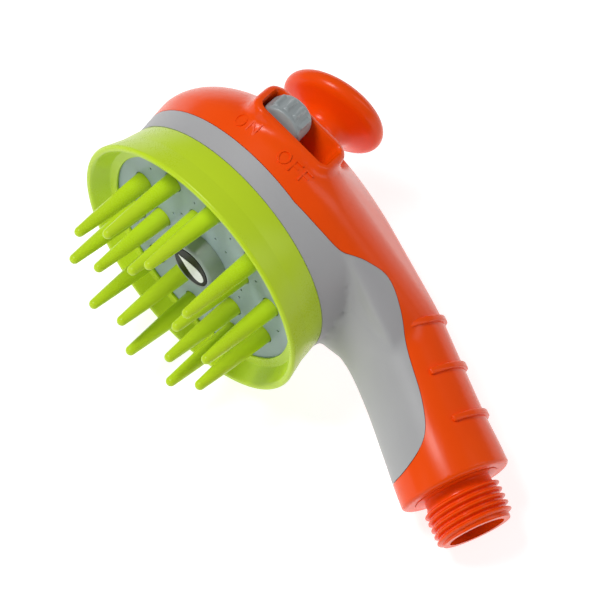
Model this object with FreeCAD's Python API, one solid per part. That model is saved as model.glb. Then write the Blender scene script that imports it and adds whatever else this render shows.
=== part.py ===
import FreeCAD, Part
import math
import os
from FreeCAD import Matrix, Placement, Rotation, Vector

# Handheld pet bath sprayer, in millimetres.
#
# The pieces are drawn in the tool frame: the origin is the centre of the skirt's rim, +Z runs along the head's
# axis away from the spray, +X runs towards the handle, and the switch is on the -Y side. lay_down() then
# turns every piece onto its side, the way the sprayer lies on a table with its switch up.

X_AXIS = Vector(1, 0, 0)
Y_AXIS = Vector(0, 1, 0)
Z_AXIS = Vector(0, 0, 1)
ORIGIN = Vector(0, 0, 0)

# ---- driving dimensions ----------------------------------------------------------------------
WALL = 2.2                      # casing wall
GAP = 0.3                       # space between pieces of different bodies
RUNNING = 0.05                  # radial clearance of a sliding fit

SKIRT_RIM_R = 37.8
SKIRT_DEPTH = 13.2              # the rim is at z = 0, the skirt's back at this height
PLATE_Z = 5.5                   # front face of the spray plate
PLATE_R = 31.6
PLATE_THICK = 1.8
COMB_Z = PLATE_Z + PLATE_THICK
COMB_THICK = 1.6
COMB_R = 30.6
BOWL_Z = 14.2                   # back face of the chamber bowl
BOWL_WALL = 1.6

RING_BASE_R = 34.8              # grey ring of the front casing
CROWN_R = 36.7
CROWN_Z = 24.0                  # widest place of the orange crown
CROWN_RISE = 21.5
PARTING_Z = 18.8                # joint of the two casings round the head
SKIRT_WALL = 2.0
SPIGOT_OUT_R = 32.8             # ring of the front casing that plugs into the skirt
SPIGOT_DEPTH = 4.0
SEAT_Z = 16.2                   # back of the front casing's inner ledge
SCREW_POSTS = (Vector(-26.0, -12.5, 0), Vector(-12.0, 26.0, 0), Vector(18.0, 22.4, 0))
POST_R = 3.2
SCREW_R = 1.4
KEYHOLE_R = 5.0                 # hole in the plate and the comb for the boss

BRISTLE_RINGS = ((10, 24.4, 9.0), (5, 15.1, 27.0))   # count, pitch radius, first angle
BRISTLE_ROOT_R = 2.65
BRISTLE_TIP_R = 1.35
BRISTLE_TIP_Z = -18.0
BRISTLE_HOLE_R = 2.85
JET_R = 0.35

CUFF_END = Vector(85.6, 0, 15.3)
CUFF_R = 14.7
CUFF_LEAN = 17.6                # the handle falls towards the spray side by this angle
RIB_PLACES = (-40.3, -27.3, -14.0)
RIB_RISE = 0.8
RIB_WIDTH = 1.6
RIB_FOOT = 4.5                  # the ribs end this far behind the handle's axis

THREAD_R = 20.955 / 2           # G1/2
THREAD_PITCH = 1.814
THREAD_DEPTH = 1.162
THREAD_COUNT = 5
THREAD_START = 2.6
INLET_END = 12.4                # mouth of the inlet, measured from the cuff's end
INLET_BORE_R = 7.5
INLET_BORE_END = 3.0            # bottom of the inlet's bore, measured from the cuff's end
STRAINER_R = 6.8
STRAINER_THICK = 1.0
SPIGOT_R = 11.3                 # part of the inlet that passes through the cuff's end wall
FLANGE_R = 12.0
CUFF_WALL = 3.0
TUBE_END = -15.0                # end of the water tube, measured from the cuff's end
WATER_R = 4.2                   # clear radius of the water way

KNOB_FOOT = Vector(-4.6, 0, 44.0)
KNOB_LEAN = -14.0
KNOB_R = 14.6

SLOT_CENTRE = Vector(-5.7, -33.7, 34.4)
SLOT_LEAN = 62.0                # the slot's mouth faces this far from +Z towards -Y
SLOT_SWING = 6.0                # and its handle end swings this far towards the spine
SLOT_LENGTH = 22.0
SLOT_WIDTH = 9.6
SLOT_CORNER = 2.2
LIP_WIDTH = 2.3
LIP_DEPTH = 9.0                 # the lip reaches down to the crown on its far side
PAD_DEPTH = 7.2                 # inner face of the slot's thick wall, below its mouth
SWITCH_TRAVEL = 8.5
BUTTON_LENGTH = 12.0
BUTTON_WIDTH = 8.4
BUTTON_RISE = 3.0
BUTTON_AT = 0.15 - SWITCH_TRAVEL / 2   # centre of the button at ON, along the slot
CARRIAGE_THICK = 1.5
CARRIAGE_LENGTH = 22.8          # closes the slot ahead of the button
CARRIAGE_WIDTH = 9.0

VALVE_DEPTH = 19.0              # valve axis, measured in from the slot's mouth
VALVE_R = 6.3
VALVE_BORE_R = 4.4
VALVE_BACK = 1.5                # the valve's places are measured along the slot from its centre
VALVE_FRONT = 28.0
CAP_THICK = 2.0
OUTLET_R = 4.4
OUTLET_AT = 18.0
FEED_AT = 23.5
VALVE_SCREWS_AT = (4.5, 17.5)
SPOOL_BACK = -11.5
SPOOL_HEAD = (3.0, 15.2)
STEM_R = 2.0
SEAL_PLACES = (4.6, 13.6)
SEAL_WIDTH = 2.0
FEED_AXIS = Vector(0.8, 0.6, 0)
FEED_LENGTH = 12.0
TUBE_R = 5.4

TABLE_NORMAL = Vector(-0.266, -0.963, -0.048)  # what points up when the sprayer lies on a table


# ---- directions worked out from them ----------------------------------------------------------------------
def turn_about(axis, degrees, vector):
    return Rotation(axis, degrees).multVec(vector)


HANDLE_AXIS = turn_about(Y_AXIS, CUFF_LEAN, X_AXIS)
HANDLE_BACK = turn_about(Y_AXIS, CUFF_LEAN, Z_AXIS)
SLOT_OUT = turn_about(X_AXIS, SLOT_LEAN, Z_AXIS)
SLOT_ALONG = turn_about(SLOT_OUT, SLOT_SWING, X_AXIS)
SLOT_ACROSS = SLOT_OUT.cross(SLOT_ALONG)
KNOB_AXIS = turn_about(Y_AXIS, KNOB_LEAN, Z_AXIS)


def on_slot(along, out=0.0, across=0.0):
    """Point in the slot's own directions, from the centre of its mouth."""
    return SLOT_CENTRE + SLOT_ALONG * along + SLOT_OUT * out + SLOT_ACROSS * across


def on_handle(along, back=0.0):
    """Point on the handle's straight axis, measured from the cuff's end towards the hose."""
    return CUFF_END + HANDLE_AXIS * along + HANDLE_BACK * back


VALVE_SCREW_PLACES = [on_slot(along, -VALVE_DEPTH, 9.2) for along in VALVE_SCREWS_AT]


# ---- shape helpers ----------------------------------------------------------------------
def cylinder(radius, length, base=ORIGIN, axis=Z_AXIS):
    return Part.makeCylinder(radius, length, base, axis)


def tube(outer, inner, length, base=ORIGIN, axis=Z_AXIS):
    return cylinder(outer, length, base, axis).cut(cylinder(inner, length, base, axis))


def turned(profile, base=ORIGIN, axis=Z_AXIS):
    """Solid of revolution of a closed (radius, height) outline about an axis."""
    corners = [Vector(radius, 0, height) for radius, height in profile]
    solid = Part.Face(Part.makePolygon(corners + corners[:1])).revolve(ORIGIN, Z_AXIS, 360)
    solid.Placement = Placement(base, Rotation(Z_AXIS, axis))
    return solid


def at_slot(shape):
    """Carry a shape drawn with +X along the slot and +Z out of it to the slot."""
    place = Matrix(SLOT_ALONG.x, SLOT_ACROSS.x, SLOT_OUT.x, SLOT_CENTRE.x,
                   SLOT_ALONG.y, SLOT_ACROSS.y, SLOT_OUT.y, SLOT_CENTRE.y,
                   SLOT_ALONG.z, SLOT_ACROSS.z, SLOT_OUT.z, SLOT_CENTRE.z,
                   0, 0, 0, 1)
    moved = shape.copy()
    moved.Placement = Placement(place).multiply(moved.Placement)
    return moved


def rounded_block(length, width, height, low, corner, centre=0.0):
    """Upright block, long along X, with rounded upright edges."""
    block = Part.makeBox(length, width, height, Vector(centre - length / 2, -width / 2, low))
    upright = [edge for edge in block.Edges if abs(edge.tangentAt(edge.FirstParameter).z) > 0.9]
    return block.makeFillet(corner, upright)


def around(count, radius, first, height=0.0):
    """Points spaced evenly on a circle about the head's axis."""
    places = []
    for i in range(count):
        turn = math.radians(first + 360.0 * i / count)
        places.append(Vector(radius * math.cos(turn), radius * math.sin(turn), height))
    return places


def biggest(shape):
    return max(shape.Solids, key=lambda solid: solid.Volume)


def o_ring(mean_radius, cord_radius, centre, axis):
    return Part.makeTorus(mean_radius, cord_radius, centre, axis)


def screw(shank, head, head_height, length, seat, axis):
    """Pan-head screw whose head sits below seat and whose shank runs along axis."""
    cross = Part.makeBox(head * 1.3, 0.6, 0.8, Vector(-head * 0.65, -0.3, -head_height))
    body = cylinder(head, head_height, Z_AXIS * -head_height).fuse(cylinder(shank, length))
    body = body.cut([cross, cross.rotated(ORIGIN, Z_AXIS, 90)])
    body.Placement = Placement(seat, Rotation(Z_AXIS, axis))
    return body


# ---- casing body ----------------------------------------------------------------------
def crown(inset):
    """Revolved head, drawn this far inside the outer skin: ring below, dome above."""
    steps = 7
    dome = []
    for i in range(steps + 1):
        turn = math.radians(90.0 * i / steps)
        height = CROWN_Z + (CROWN_RISE - inset) * math.sin(turn)
        dome.append(Vector((CROWN_R - inset) * math.cos(turn), 0, height))
    side = Part.BSplineCurve()
    side.interpolate(Points=dome, InitialTangent=Z_AXIS, FinalTangent=-X_AXIS)
    foot = Vector(RING_BASE_R - inset, 0, SKIRT_DEPTH)
    low = Vector(RING_BASE_R - inset, 0, -30)
    middle = Vector(0, 0, -30)
    edges = [Part.makeLine(middle, low), Part.makeLine(low, foot), Part.makeLine(foot, dome[0]),
             side.toShape(), Part.makeLine(dome[-1], middle)]
    return Part.Face(Part.Wire(edges)).revolve(ORIGIN, Z_AXIS, 360)


# Sections of the neck and handle: centre x, centre z, lean, half height and half width.
SECTIONS = (
    (-25.0, 26.0, 0.0, 11.0, 15.0),
    (-10.0, 31.2, 0.0, 17.6, 21.0),
    (6.0, 32.6, 0.0, 17.2, 21.6),
    (20.0, 32.4, 4.0, 16.0, 19.6),
    (33.0, 31.0, 9.0, 14.8, 16.0),
    (46.0, 29.4, 15.0, 13.6, 13.9),
    (58.0, 25.6, CUFF_LEAN, 13.4, 13.6),
    (71.0, 20.6, CUFF_LEAN, 13.9, 14.0),
    (80.0, 17.3, CUFF_LEAN, 14.5, 14.5),
    (85.6, 15.3, CUFF_LEAN, CUFF_R, CUFF_R),
)


def neck_and_handle(inset):
    wires = []
    for x, z, lean, high, wide in SECTIONS:
        back = turn_about(Y_AXIS, lean, Z_AXIS)
        ring = []
        for i in range(16):
            turn = 2 * math.pi * i / 16
            rise = back * ((high - inset) * math.cos(turn))
            ring.append(Vector(x, 0, z) + rise + Y_AXIS * ((wide - inset) * math.sin(turn)))
        curve = Part.BSplineCurve()
        curve.interpolate(Points=ring, PeriodicFlag=True)
        wires.append(Part.Wire(curve.toShape()))
    return Part.makeLoft(wires, True, False)


def casing_body(inset):
    """Head and handle in one, cut off flat at the skirt's back."""
    body = crown(inset).fuse(neck_and_handle(inset)).removeSplitter()
    front = Part.makeBox(120, 120, 120, Vector(-80, -60, SKIRT_DEPTH - 120))
    return body.cut(front)


def behind_parting(shift=0.0):
    """Everything on the orange side of the line where the two casings meet."""
    low = PARTING_Z + shift
    line = [Vector(-80, 0, low), Vector(8, 0, low)]
    rise = Part.BSplineCurve()
    rise.interpolate(Points=[Vector(8, 0, low), Vector(17, 0, 20.4 + shift), Vector(24, 0, 22.7 + shift),
                             Vector(30, 0, 27.4 + shift), Vector(36, 0, 30.4 + shift),
                             Vector(44, 0, 28.6 + shift), Vector(54, 0, 23.6 + shift),
                             Vector(64, 0, 18.6 + shift), Vector(71, 0, 13.2 + shift),
                             Vector(74, 0, 6.4), Vector(74.4, 0, 0), Vector(74.4, 0, -20)],
                     InitialTangent=X_AXIS, FinalTangent=-Z_AXIS)
    far = [Vector(74.4, 0, -20), Vector(140, 0, -20), Vector(140, 0, 90), Vector(-80, 0, 90)]
    far.append(Vector(-80, 0, low))
    edges = [Part.makeLine(line[0], line[1]), rise.toShape()]
    edges += [Part.makeLine(far[i], far[i + 1]) for i in range(len(far) - 1)]
    return Part.Face(Part.Wire(edges)).translated(Vector(0, -60, 0)).extrude(Vector(0, 120, 0))


def knob_post():
    return cylinder(4.5, 12, KNOB_FOOT - KNOB_AXIS * 8, KNOB_AXIS)


def switch_room():
    """What both casings keep clear of: the valve, its feed arm and the run of the carriage."""
    run = CARRIAGE_LENGTH + SWITCH_TRAVEL + 1.0
    carriage = at_slot(rounded_block(run, CARRIAGE_WIDTH + 0.6, LIP_DEPTH + 1 - PAD_DEPTH, -LIP_DEPTH - 1, 2.5,
                                     SPOOL_BACK - 0.5 + run / 2))
    valve = valve_solid_axis(VALVE_BACK - CAP_THICK - 0.4, VALVE_FRONT + 0.4, VALVE_R + 0.4)
    feed = cylinder(TUBE_R + 1.8, FEED_LENGTH + 1.4, on_slot(FEED_AT, -VALVE_DEPTH), FEED_AXIS)
    return [carriage, valve, feed]


def rear_shell(outer, inner):
    shell = outer.cut(inner)
    cuff_wall = cylinder(CUFF_R - WALL + 0.2, CUFF_WALL, on_handle(-CUFF_WALL), HANDLE_AXIS)
    pad = at_slot(rounded_block(SLOT_LENGTH + 9, SLOT_WIDTH + 6, PAD_DEPTH + 4, -PAD_DEPTH, 5)).common(outer)
    shell = shell.fuse([cuff_wall, pad, knob_post().common(outer)])
    for post in SCREW_POSTS:
        shell = shell.fuse(cylinder(POST_R, 40, post + Z_AXIS * (PARTING_Z + GAP)).common(outer))
    for place in VALVE_SCREW_PLACES:
        shell = shell.fuse(cylinder(2.6, 30, place, SLOT_OUT).common(outer))
    shell = shell.common(behind_parting(0.1))
    lip = at_slot(rounded_block(SLOT_LENGTH + 2 * LIP_WIDTH, SLOT_WIDTH + 2 * LIP_WIDTH, LIP_DEPTH,
                                -LIP_DEPTH, SLOT_CORNER + LIP_WIDTH))
    ribs = [handle_rib(place) for place in RIB_PLACES]
    shell = shell.fuse([lip] + ribs)
    shell = shell.cut(at_slot(rounded_block(SLOT_LENGTH, SLOT_WIDTH, 30, -LIP_DEPTH - 1, SLOT_CORNER)))
    shell = shell.cut(cylinder(SPIGOT_R + 0.1, 10, on_handle(-6), HANDLE_AXIS))
    shell = shell.cut(cylinder(2.0, 40, KNOB_FOOT - KNOB_AXIS * 20, KNOB_AXIS))
    for post in SCREW_POSTS:
        shell = shell.cut(cylinder(SCREW_R, 9, post + Z_AXIS * PARTING_Z))
    for place in VALVE_SCREW_PLACES:
        shell = shell.cut(cylinder(1.2, 6, place, SLOT_OUT))
    return biggest(shell.cut(switch_room()))


def handle_rib(place):
    """Low band over the back half of the handle."""
    slab = Part.makeBox(RIB_WIDTH, 60, 30, Vector(-RIB_WIDTH / 2, -30, RIB_FOOT))
    slab.Placement = Placement(on_handle(place), Rotation(Y_AXIS, CUFF_LEAN))
    return neck_and_handle(-RIB_RISE).common(slab).cut(neck_and_handle(0.5))


def front_shell(outer, inner):
    shell = outer.cut(inner)
    for post in SCREW_POSTS:
        shell = shell.fuse(cylinder(POST_R, PARTING_Z - SEAT_Z, post + Z_AXIS * SEAT_Z))
    seat = tube(RING_BASE_R - 0.5, COMB_R + 1.2, 4.6, Z_AXIS * SKIRT_DEPTH)
    shell = shell.fuse(seat)
    ledge = tube(RING_BASE_R - 0.5, COMB_R - 3.4, 1.8, Z_AXIS * SEAT_Z)
    shell = shell.fuse(ledge)
    shell = shell.cut(behind_parting(0))
    for post in SCREW_POSTS:
        shell = shell.cut(cylinder(SCREW_R + 0.3, 10, post + Z_AXIS * 12))
    spigot = tube(SPIGOT_OUT_R, COMB_R + 1.2, SPIGOT_DEPTH, Z_AXIS * (SKIRT_DEPTH - SPIGOT_DEPTH))
    return biggest(shell.cut(switch_room()).fuse(spigot))


# ---- head ----------------------------------------------------------------------
def skirt_ring():
    inside = SKIRT_RIM_R - SKIRT_WALL
    neck = SPIGOT_OUT_R + 0.05
    return turned([(SKIRT_RIM_R - 0.8, 0), (SKIRT_RIM_R, 0.8), (36.0, 6.5), (RING_BASE_R, SKIRT_DEPTH),
                   (neck, SKIRT_DEPTH), (neck, PLATE_Z + 3.4), (PLATE_R + 0.1, PLATE_Z + 3.4),
                   (PLATE_R + 0.1, PLATE_Z), (PLATE_R - 0.4, PLATE_Z), (PLATE_R - 0.4, PLATE_Z - 0.8),
                   (33.6, PLATE_Z - 0.8), (inside, 0.6), (inside + 0.5, 0)])


def bristle_comb():
    solid = cylinder(COMB_R, COMB_THICK, Z_AXIS * COMB_Z).cut(cylinder(KEYHOLE_R, 4, Z_AXIS * (COMB_Z - 1)))
    tip_centre = BRISTLE_TIP_Z + BRISTLE_TIP_R
    for count, radius, first in BRISTLE_RINGS:
        for foot in around(count, radius, first):
            shaft = Part.makeCone(BRISTLE_TIP_R, BRISTLE_ROOT_R, COMB_Z + 0.5 - tip_centre,
                                  foot + Z_AXIS * tip_centre)
            ball = Part.makeSphere(BRISTLE_TIP_R, foot + Z_AXIS * tip_centre)
            solid = solid.fuse([shaft, ball])
        ports = around(count, radius - 4.6 if count == 5 else radius, first + 180.0 / count, COMB_Z - 1)
        solid = solid.cut([cylinder(1.6, 4, port) for port in ports])
    return biggest(solid)


def spray_plate():
    plate = cylinder(PLATE_R, PLATE_THICK, Z_AXIS * PLATE_Z)
    tools = [cylinder(KEYHOLE_R, 4, Z_AXIS * (PLATE_Z - 1))]
    for count, radius, first in BRISTLE_RINGS:
        tools += [cylinder(BRISTLE_HOLE_R, 4, foot) for foot in around(count, radius, first, PLATE_Z - 1)]
    for radius in (21.0, 27.2):
        tools += [cylinder(JET_R, 4, place) for place in around(10, radius, -9.0, PLATE_Z - 1)]
    for turn in (-9.0, 9.0):
        tools += [cylinder(JET_R, 4, place) for place in around(5, 13.6, turn - 9.0, PLATE_Z - 1)]
    return biggest(plate.cut(tools))


def centre_boss():
    cone = turned([(0, 1.0), (6.6, 1.0), (7.1, 1.4), (8.5, PLATE_Z), (4.9, PLATE_Z), (4.9, COMB_Z + COMB_THICK),
                   (0, COMB_Z + COMB_THICK)])
    recess = cylinder(5.8, 0.8, Z_AXIS * 0.6)
    counterbore = cylinder(3.0, 3.4, Z_AXIS * 1.0)
    return biggest(cone.cut([recess, counterbore, cylinder(1.65, 20, ORIGIN)]))


def emblem_disc():
    return cylinder(5.7, 0.5, Z_AXIS * 0.9)


def boss_screw():
    return screw(1.5, 2.7, 1.6, 8.6, Z_AXIS * 4.4, Z_AXIS)


def chamber_bowl():
    """Dish that spreads the water behind the comb, with a collar for the valve's outlet."""
    lip = COMB_Z + COMB_THICK + 0.8
    dish = turned([(0, BOWL_Z - BOWL_WALL), (COMB_R - BOWL_WALL - 0.4, BOWL_Z - BOWL_WALL),
                   (COMB_R - BOWL_WALL - 0.4, lip), (COMB_R, lip), (COMB_R, BOWL_Z), (0, BOWL_Z)])
    outlet = outlet_foot()
    post = tube(3.4, 1.5, BOWL_Z - COMB_Z - COMB_THICK - 0.2, Z_AXIS * (COMB_Z + COMB_THICK + 0.2))
    collar = cylinder(7.0, 5.0, Vector(outlet.x, outlet.y, BOWL_Z - 0.4))
    bowl = dish.fuse([post, collar])
    bowl = bowl.cut(cylinder(1.5, 4.6, Z_AXIS * (COMB_Z + COMB_THICK)))
    bowl = bowl.cut(cylinder(OUTLET_R + 0.1, 5.0, Vector(outlet.x, outlet.y, BOWL_Z)))
    return biggest(bowl.cut(cylinder(3.0, 8.0, Vector(outlet.x, outlet.y, BOWL_Z - 4))))


def chamber_gasket():
    return tube(COMB_R, COMB_R - 2.0, 0.8, Z_AXIS * (COMB_Z + COMB_THICK))


# ---- valve ----------------------------------------------------------------------
def outlet_foot():
    return on_slot(OUTLET_AT, -VALVE_DEPTH)


def valve_solid_axis(start, end, radius):
    return cylinder(radius, end - start, on_slot(start, -VALVE_DEPTH), SLOT_ALONG)


def valve_body():
    outlet = outlet_foot()
    feed = on_slot(FEED_AT, -VALVE_DEPTH)
    spigot = cylinder(OUTLET_R, outlet.z - BOWL_Z - 1.4, Vector(outlet.x, outlet.y, BOWL_Z + 1.4))
    ears = [cylinder(2.6, 4.0, place - SLOT_OUT * 4.0, SLOT_OUT) for place in VALVE_SCREW_PLACES]
    arms = []
    for place, along in zip(VALVE_SCREW_PLACES, VALVE_SCREWS_AT):
        middle = on_slot(along, -VALVE_DEPTH)
        reach = (place - middle)
        arm = Part.makeBox(reach.Length, 4.0, 3.0, Vector(0, -2.0, -3.5))
        turn = Rotation(reach, SLOT_OUT.cross(reach), SLOT_OUT, "XZY")
        arm.Placement = Placement(middle, turn).multiply(arm.Placement)
        arms.append(arm)
    body = valve_solid_axis(VALVE_BACK, VALVE_FRONT, VALVE_R)
    body = body.fuse([spigot, cylinder(TUBE_R + 1.4, FEED_LENGTH, feed, FEED_AXIS)] + ears + arms)
    body = body.cut([valve_solid_axis(VALVE_BACK - 1, VALVE_FRONT - 2.0, VALVE_BORE_R),
                     cylinder(2.8, outlet.z, Vector(outlet.x, outlet.y, 0)),
                     cylinder(WATER_R, FEED_LENGTH + 2, feed, FEED_AXIS),
                     cylinder(TUBE_R + 0.05, 5.0, feed + FEED_AXIS * (FEED_LENGTH - 4.5), FEED_AXIS)]
                    + [cylinder(1.4, 12, place - SLOT_OUT * 6, SLOT_OUT) for place in VALVE_SCREW_PLACES])
    return biggest(body)


def valve_end_cap():
    flange = valve_solid_axis(VALVE_BACK - CAP_THICK, VALVE_BACK, VALVE_R)
    return flange.cut(valve_solid_axis(VALVE_BACK - CAP_THICK - 1, VALVE_BACK + 1, STEM_R + RUNNING))


def valve_screws():
    heads = [screw(1.2, 2.3, 1.4, 8.0, place - SLOT_OUT * 4.0, SLOT_OUT) for place in VALVE_SCREW_PLACES]
    return Part.makeCompound(heads)


def valve_spool():
    head = valve_solid_axis(SPOOL_HEAD[0], SPOOL_HEAD[1], VALVE_BORE_R - RUNNING)
    waist = valve_solid_axis(SEAL_PLACES[0] + 2.2, SEAL_PLACES[1] - 2.2, VALVE_BORE_R + 1)
    waist = waist.cut(valve_solid_axis(SEAL_PLACES[0] + 2, SEAL_PLACES[1] - 2, 2.6))
    grooves = []
    for place in SEAL_PLACES:
        ring = valve_solid_axis(place - SEAL_WIDTH / 2, place + SEAL_WIDTH / 2, VALVE_BORE_R + 1)
        grooves.append(ring.cut(valve_solid_axis(place - SEAL_WIDTH, place + SEAL_WIDTH, 2.8)))
    stem = valve_solid_axis(SPOOL_BACK, SPOOL_HEAD[0] + 0.5, STEM_R)
    return biggest(head.cut([waist] + grooves).fuse(stem))


def spool_o_rings():
    rings = []
    for place in SEAL_PLACES:
        outer = valve_solid_axis(place - 0.8, place + 0.8, VALVE_BORE_R - 0.02)
        rings.append(outer.cut(valve_solid_axis(place - 2, place + 2, 2.85)))
    return Part.makeCompound(rings)


def slider_carriage():
    """Plate under the slot wall, with an arm that holds the spool's stem."""
    top = -PAD_DEPTH - GAP
    plate = rounded_block(CARRIAGE_LENGTH, CARRIAGE_WIDTH, CARRIAGE_THICK, top - CARRIAGE_THICK, 3.0,
                          SPOOL_BACK + CARRIAGE_LENGTH / 2)
    arm = Part.makeBox(2.0, 6.0, VALVE_DEPTH + 3.0 + top, Vector(SPOOL_BACK, -3.0, -VALVE_DEPTH - 3.0))
    carriage = at_slot(plate.fuse(arm))
    carriage = carriage.cut(valve_solid_axis(SPOOL_BACK - 1, SPOOL_BACK + 3, STEM_R))
    return biggest(carriage.cut(button_posts(1.25)))


def button_posts(radius):
    top = -PAD_DEPTH - GAP
    posts = [cylinder(radius, CARRIAGE_THICK + 0.5, Vector(BUTTON_AT + side, 0, top - CARRIAGE_THICK))
             for side in (-3.5, 3.5)]
    return at_slot(posts[0].fuse(posts[1]))


def slider_button():
    """Half-round thumb piece with cross ridges, on a stem through the slot."""
    top = -PAD_DEPTH - GAP
    half = BUTTON_WIDTH / 2
    block = rounded_block(BUTTON_LENGTH, BUTTON_WIDTH, BUTTON_RISE + 1 - top, top, 1.6, BUTTON_AT)
    drum = cylinder(BUTTON_LENGTH / 2 + 0.6, BUTTON_WIDTH, Vector(BUTTON_AT, half, BUTTON_RISE - 6.6), Y_AXIS * -1)
    below = Part.makeBox(BUTTON_LENGTH, BUTTON_WIDTH, -top, Vector(BUTTON_AT - BUTTON_LENGTH / 2, -half, top))
    body = block.common(drum.fuse(below)).removeSplitter()
    ridges = []
    for turn in (-36, -12, 12, 36):
        spin = math.radians(turn)
        place = Vector(BUTTON_AT + 6.5 * math.sin(spin), half - 1.2, BUTTON_RISE - 6.6 + 6.5 * math.cos(spin))
        ridges.append(cylinder(0.55, BUTTON_WIDTH - 2.4, place, Y_AXIS * -1))
    body = body.fuse(ridges)
    return biggest(at_slot(body).fuse(button_posts(1.2)))


def detent_spring():
    """Leaf with a bump that rests on the carriage, held on the valve body."""
    low = -PAD_DEPTH - GAP - CARRIAGE_THICK - 0.35
    leaf = Part.makeBox(14, 3.0, 0.4, Vector(1.5, -1.5, low - 0.9))
    bump = cylinder(0.8, 3.0, Vector(4.0, -1.5, low - 0.8), Y_AXIS)
    foot = Part.makeBox(3.0, 3.0, 1.3, Vector(12.5, -1.5, low - 1.8))
    return at_slot(leaf.fuse([bump, foot]).removeSplitter())


# ---- water way ----------------------------------------------------------------------
def bent_path(points, radius):
    """Straight runs joined by tangent arcs."""
    edges = []
    start = points[0]
    for before, corner, after in zip(points, points[1:], points[2:]):
        back = (before - corner).normalize()
        ahead = (after - corner).normalize()
        half = back.getAngle(ahead) / 2
        reach = radius / math.tan(half)
        middle = corner + (back + ahead).normalize() * (radius / math.sin(half) - radius)
        edges.append(Part.makeLine(start, corner + back * reach))
        edges.append(Part.Arc(corner + back * reach, middle, corner + ahead * reach).toShape())
        start = corner + ahead * reach
    edges.append(Part.makeLine(start, points[-1]))
    return Part.Wire(edges)


def pipe(path, start, direction, radius):
    circle = Part.Wire(Part.makeCircle(radius, start, direction))
    return path.makePipeShell([circle], True, False)


def waterway_tube():
    start = on_slot(FEED_AT, -VALVE_DEPTH) + FEED_AXIS * (FEED_LENGTH - 4.4)
    points = [start, start + FEED_AXIS * 14.0, on_handle(-38), on_handle(TUBE_END)]
    path = bent_path(points, 9.0)
    return pipe(path, start, FEED_AXIS, TUBE_R).cut(pipe(path, start, FEED_AXIS, WATER_R))


def tube_o_ring():
    face = on_slot(FEED_AT, -VALVE_DEPTH) + FEED_AXIS * (FEED_LENGTH + 0.8)
    return tube(TUBE_R + 1.4, TUBE_R + 0.05, 0.7, face - FEED_AXIS * 0.75, FEED_AXIS)


def inlet_connector():
    """Threaded spigot with a flange behind the cuff's end wall and a socket for the water tube."""
    root = THREAD_R - THREAD_DEPTH
    outline = [(INLET_BORE_R, INLET_END), (root, INLET_END)]
    crest = INLET_END - 0.5
    for i in range(THREAD_COUNT):
        high = crest - i * THREAD_PITCH
        outline += [(root, high), (THREAD_R, high - 0.7), (THREAD_R, high - 0.95), (root, high - 1.65)]
    outline += [(9.0, THREAD_START), (9.0, 0.6), (SPIGOT_R, 0.2), (SPIGOT_R, -CUFF_WALL),
                (FLANGE_R, -CUFF_WALL), (FLANGE_R, -CUFF_WALL - 2.5),
                (TUBE_R + 2.4, -CUFF_WALL - 2.5), (TUBE_R + 2.4, TUBE_END - 3), (TUBE_R + 0.05, TUBE_END - 3),
                (TUBE_R + 0.05, TUBE_END + 0.1), (WATER_R, TUBE_END + 0.1), (WATER_R, -2),
                (STRAINER_R, 1.0), (STRAINER_R, INLET_BORE_END), (INLET_BORE_R, INLET_BORE_END)]
    return turned(outline, CUFF_END, HANDLE_AXIS)


def inlet_o_ring():
    return o_ring(TUBE_R + 1.2, 0.7, on_handle(TUBE_END - 3.9), HANDLE_AXIS)


def inlet_strainer():
    disc = cylinder(STRAINER_R, STRAINER_THICK, on_handle(INLET_BORE_END - STRAINER_THICK - 0.2), HANDLE_AXIS)
    holes = [cylinder(0.7, 6, on_handle(0), HANDLE_AXIS)]
    across = HANDLE_AXIS.cross(Y_AXIS)
    for count, radius in ((6, 2.4), (12, 4.8)):
        for i in range(count):
            turn = 2 * math.pi * i / count
            shift = Y_AXIS * (radius * math.cos(turn)) + across * (radius * math.sin(turn))
            holes.append(cylinder(0.7, 6, on_handle(0) + shift, HANDLE_AXIS))
    return disc.cut(holes)


# ---- knob and fasteners ----------------------------------------------------------------------
def rear_knob():
    """Mushroom grip: round foot, waisted neck and a broad rolled disc."""
    foot = 5.0
    neck = [(7.6, foot), (6.6, foot + 1.4), (6.2, foot + 3.0), (6.6, foot + 4.6), (8.2, foot + 6.2),
            (10.8, foot + 7.6), (13.2, foot + 8.6), (14.3, foot + 9.6), (KNOB_R, foot + 11.0),
            (14.3, foot + 12.4), (13.2, foot + 13.4), (11.0, foot + 14.0), (6.0, foot + 14.6), (0, foot + 14.8)]
    knob = turned([(0, foot)] + neck, KNOB_FOOT, KNOB_AXIS)
    return knob


def fitted_knob(outer):
    knob = turned([(0, 0), (7.6, 0), (7.6, 5.2), (0, 5.2)], KNOB_FOOT, KNOB_AXIS).fuse(rear_knob())
    knob = knob.cut(outer)
    return biggest(biggest(knob).cut(cylinder(1.6, 14, KNOB_FOOT, KNOB_AXIS)))


def knob_screw():
    return screw(1.6, 3.2, 2.0, 20.0, KNOB_FOOT - KNOB_AXIS * 8.0, KNOB_AXIS)


def shell_screws():
    return Part.makeCompound([screw(SCREW_R, 2.6, 1.6, 10.0, post + Z_AXIS * SEAT_Z, Z_AXIS)
                              for post in SCREW_POSTS])


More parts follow.
